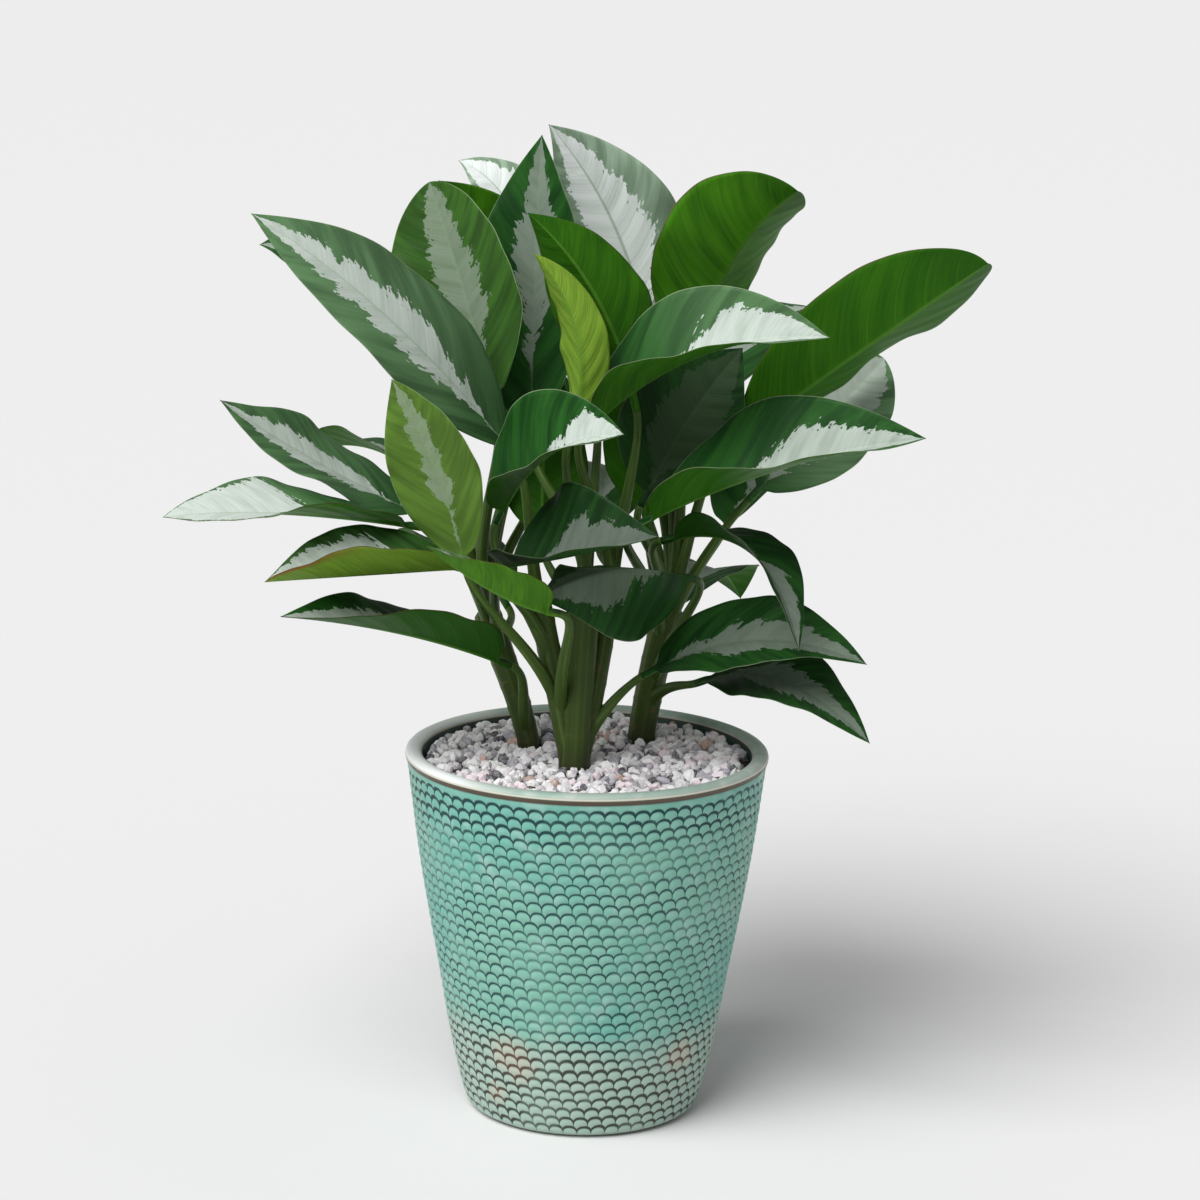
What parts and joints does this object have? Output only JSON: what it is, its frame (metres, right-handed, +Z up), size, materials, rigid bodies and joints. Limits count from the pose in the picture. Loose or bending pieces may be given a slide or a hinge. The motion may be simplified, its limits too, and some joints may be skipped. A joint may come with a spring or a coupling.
{
  "type": "potted aglaonema",
  "caption": "Round tapered pot with a raised scale pattern, filled with gravel, holding a bushy aglaonema: upright canes, long petioles and broad silver-banded leaves.",
  "frame": {"origin": "middle of the pot's flat foot, on the surface it stands on", "axes": "+Z up along the pot's axis; -Y towards the viewer of the pictured front; +X to that viewer's right"},
  "size_m": [0.5189, 0.4148, 0.6486],
  "materials": {
    "pot_glaze": "turquoise glaze, thin over the crowns of the scales and dark in their joints, satin",
    "potting_mix": "loose bark and peat mix, matt",
    "gravel": "pale grey and pinkish crushed stone, matt",
    "stem": "living green stalk with paler streaks, satin",
    "leaf": "deep green upper face with a silver middle band, brighter green underside, satin"
  },
  "bodies": {
    "root": {"pot": "pot_glaze", "potting_mix": "potting_mix", "gravel": "gravel", "stem_left": "stem", "stem_centre": "stem", "stem_right": "stem", "leaf_upper_left": "leaf", "leaf_left_upright": "leaf", "leaf_left_behind": "leaf", "leaf_crown": "leaf", "leaf_crown_left": "leaf", "leaf_back_pale": "leaf", "leaf_upper_right": "leaf", "leaf_far_right": "leaf", "leaf_centre_right": "leaf", "leaf_centre_front": "leaf", "leaf_young": "leaf", "leaf_crown_under": "leaf", "leaf_shade_right": "leaf", "leaf_right": "leaf", "leaf_right_behind": "leaf", "leaf_left_high": "leaf", "leaf_left_low": "leaf", "leaf_front_upright": "leaf", "leaf_low_left": "leaf", "leaf_lowest_left": "leaf", "leaf_front": "leaf", "leaf_front_small": "leaf", "leaf_front_low": "leaf", "leaf_right_drooping": "leaf", "leaf_right_lower": "leaf", "leaf_right_lowest": "leaf", "leaf_left_peeking": "leaf", "leaf_back_high": "leaf", "leaf_back_right_high": "leaf", "leaf_back_left_high": "leaf", "leaf_back_left": "leaf", "leaf_back_right": "leaf", "leaf_back": "leaf", "leaf_back_right_low": "leaf", "leaf_back_left_low": "leaf", "leaf_inner": "leaf", "leaf_inner_right": "leaf", "leaf_back_top": "leaf", "leaf_back_mid_right": "leaf", "leaf_back_mid_left": "leaf"}
  },
  "joints": []
}
